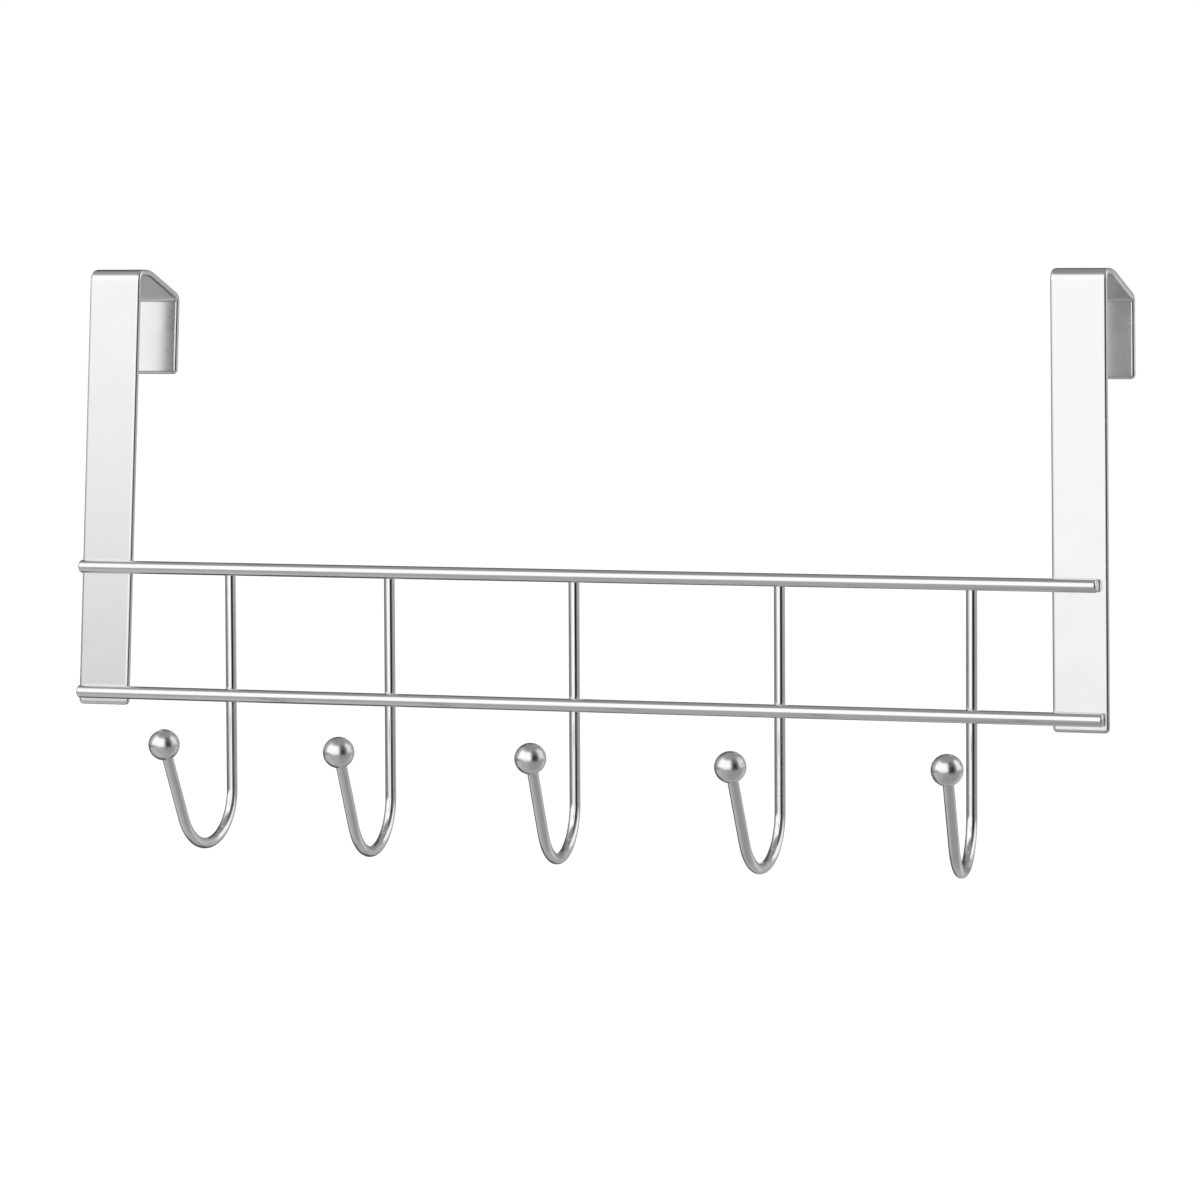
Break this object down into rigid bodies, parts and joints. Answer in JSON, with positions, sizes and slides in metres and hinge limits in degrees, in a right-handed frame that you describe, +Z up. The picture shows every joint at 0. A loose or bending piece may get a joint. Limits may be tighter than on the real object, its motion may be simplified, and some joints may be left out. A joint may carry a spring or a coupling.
{
  "type": "over door hook",
  "caption": "Over-door coat rack: folded steel straps carry rails and upturned wire hooks with ball tips.",
  "frame": {"origin": "midway between the straps, on the door's front face, level with the door's top edge", "axes": "+X along the rails to the right as seen by someone facing the hooks, +Y back into the door, +Z up; the hooks reach towards -Y"},
  "size_m": [0.4902, 0.106, 0.2606],
  "materials": {
    "plated_strip": "satin nickel plate",
    "plated_rod": "bright nickel plate",
    "plated_wire": "bright nickel plate",
    "plated_ball": "bright nickel plate"
  },
  "bodies": {
    "root": {"left_strap": "plated_strip", "right_strap": "plated_strip", "upper_rail": "plated_rod", "lower_rail": "plated_rod", "hook_1": "plated_wire", "ball_1": "plated_ball", "hook_2": "plated_wire", "ball_2": "plated_ball", "hook_3": "plated_wire", "ball_3": "plated_ball", "hook_4": "plated_wire", "ball_4": "plated_ball", "hook_5": "plated_wire", "ball_5": "plated_ball"}
  },
  "joints": []
}
